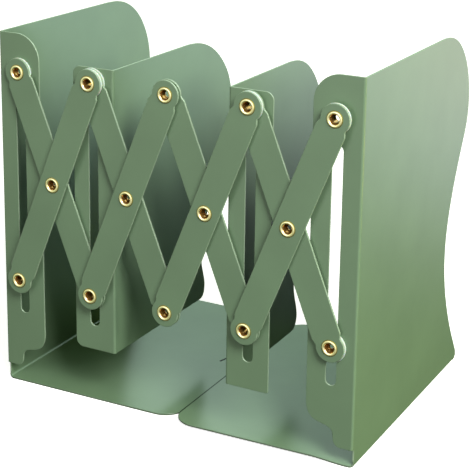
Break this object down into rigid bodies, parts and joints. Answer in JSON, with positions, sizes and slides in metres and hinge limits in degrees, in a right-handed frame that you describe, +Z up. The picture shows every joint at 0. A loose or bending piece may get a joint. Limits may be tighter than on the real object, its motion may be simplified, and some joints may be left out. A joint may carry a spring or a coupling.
{
  "type": "expandable bookend",
  "caption": "Freestanding bookend of bent sheet steel whose two ends and two hanging dividers are spread and closed by a riveted scissor of flat bars.",
  "frame": {"origin": "on the floor at the middle of the footprint's bounding box, in the state shown in the picture", "axes": "+Z up, +X along the row of books from the left end to the right end, +Y from the scissor at the front to the back edge of the panels"},
  "size_m": [0.1996, 0.1498, 0.1886],
  "materials": {
    "sage_coat": "satin powder coat, sage green",
    "brass": "polished rolled eyelet",
    "nylon": "natural white nylon"
  },
  "bodies": {
    "left_end": {"left_end_panel": "sage_coat", "eyelet_top_1": "brass", "washer_panel_top_1": "nylon"},
    "back_bar_1": {"back_bar_1": "sage_coat", "eyelet_cross_1": "brass", "washer_cross_1": "nylon", "eyelet_bottom_2": "brass", "washer_bars_bottom_2": "nylon", "washer_panel_bottom_2": "nylon"},
    "front_bar_1": {"front_bar_1": "sage_coat", "eyelet_bottom_1": "brass", "washer_bars_bottom_1": "nylon", "spacer_bottom_1": "nylon"},
    "left_divider": {"left_divider": "sage_coat", "eyelet_top_2": "brass", "washer_bars_top_2": "nylon", "washer_panel_top_2": "nylon"},
    "front_bar_2": {"front_bar_2": "sage_coat", "eyelet_cross_2": "brass", "washer_cross_2": "nylon", "eyelet_top_3": "brass", "washer_bars_top_3": "nylon"},
    "back_bar_2": {"back_bar_2": "sage_coat"},
    "back_bar_3": {"back_bar_3": "sage_coat", "eyelet_cross_3": "brass", "washer_cross_3": "nylon", "eyelet_bottom_4": "brass", "washer_bars_bottom_4": "nylon", "washer_panel_bottom_4": "nylon"},
    "front_bar_3": {"front_bar_3": "sage_coat", "eyelet_bottom_3": "brass", "washer_bars_bottom_3": "nylon"},
    "right_divider": {"right_divider": "sage_coat", "eyelet_top_4": "brass", "washer_bars_top_4": "nylon", "washer_panel_top_4": "nylon"},
    "front_bar_4": {"front_bar_4": "sage_coat", "eyelet_cross_4": "brass", "washer_cross_4": "nylon"},
    "back_bar_4": {"back_bar_4": "sage_coat", "eyelet_bottom_5": "brass", "washer_panel_bottom_5": "nylon"},
    "right_end": {"right_end_panel": "sage_coat", "eyelet_top_5": "brass", "washer_bars_top_5": "nylon", "spacer_top_5": "nylon"}
  },
  "joints": [
    {"name": "scissor_spread", "type": "hinge", "parent": "left_end", "child": "back_bar_1", "pos_m": [-0.0874, -0.07245, 0.169], "axis": [0, -1, 0], "range_deg": [-9.4, 58]},
    {"name": "cross_pivot_1", "type": "hinge", "parent": "back_bar_1", "child": "front_bar_1", "pos_m": [-0.06555, -0.07245, 0.1142], "axis": [0, 1, 0], "range_deg": [-18.85, 116.05]},
    {"name": "left_divider_pivot", "type": "hinge", "parent": "front_bar_1", "child": "left_divider", "pos_m": [-0.0437, -0.07245, 0.169], "axis": [0, -1, 0], "range_deg": [-9.45, 58.05]},
    {"name": "bottom_pivot_2", "type": "hinge", "parent": "back_bar_1", "child": "front_bar_2", "pos_m": [-0.0437, -0.07245, 0.05939], "axis": [0, 1, 0], "range_deg": [-18.85, 116.05]},
    {"name": "cross_pivot_2", "type": "hinge", "parent": "front_bar_2", "child": "back_bar_2", "pos_m": [-0.02185, -0.07245, 0.1142], "axis": [0, -1, 0], "range_deg": [-18.85, 116.05]},
    {"name": "top_pivot_3", "type": "hinge", "parent": "front_bar_2", "child": "back_bar_3", "pos_m": [0, -0.07245, 0.169], "axis": [0, -1, 0], "range_deg": [-18.85, 116.05]},
    {"name": "cross_pivot_3", "type": "hinge", "parent": "back_bar_3", "child": "front_bar_3", "pos_m": [0.02185, -0.07245, 0.1142], "axis": [0, 1, 0], "range_deg": [-18.85, 116.05]},
    {"name": "right_divider_pivot", "type": "hinge", "parent": "front_bar_3", "child": "right_divider", "pos_m": [0.0437, -0.07245, 0.169], "axis": [0, -1, 0], "range_deg": [-9.45, 58.05]},
    {"name": "bottom_pivot_4", "type": "hinge", "parent": "back_bar_3", "child": "front_bar_4", "pos_m": [0.0437, -0.07245, 0.05939], "axis": [0, 1, 0], "range_deg": [-18.85, 116.05]},
    {"name": "cross_pivot_4", "type": "hinge", "parent": "front_bar_4", "child": "back_bar_4", "pos_m": [0.06555, -0.07245, 0.1142], "axis": [0, -1, 0], "range_deg": [-18.85, 116.05]},
    {"name": "right_end_pivot", "type": "hinge", "parent": "front_bar_4", "child": "right_end", "pos_m": [0.0874, -0.07245, 0.169], "axis": [0, -1, 0], "range_deg": [-9.45, 58.05]}
  ],
  "couplings": [
    {"joint": "cross_pivot_1", "follows": "scissor_spread", "ratio": 2},
    {"joint": "left_divider_pivot", "follows": "scissor_spread", "ratio": 1},
    {"joint": "bottom_pivot_2", "follows": "scissor_spread", "ratio": 2},
    {"joint": "cross_pivot_2", "follows": "scissor_spread", "ratio": 2},
    {"joint": "top_pivot_3", "follows": "scissor_spread", "ratio": 2},
    {"joint": "cross_pivot_3", "follows": "scissor_spread", "ratio": 2},
    {"joint": "right_divider_pivot", "follows": "scissor_spread", "ratio": 1},
    {"joint": "bottom_pivot_4", "follows": "scissor_spread", "ratio": 2},
    {"joint": "cross_pivot_4", "follows": "scissor_spread", "ratio": 2},
    {"joint": "right_end_pivot", "follows": "scissor_spread", "ratio": 1}
  ]
}
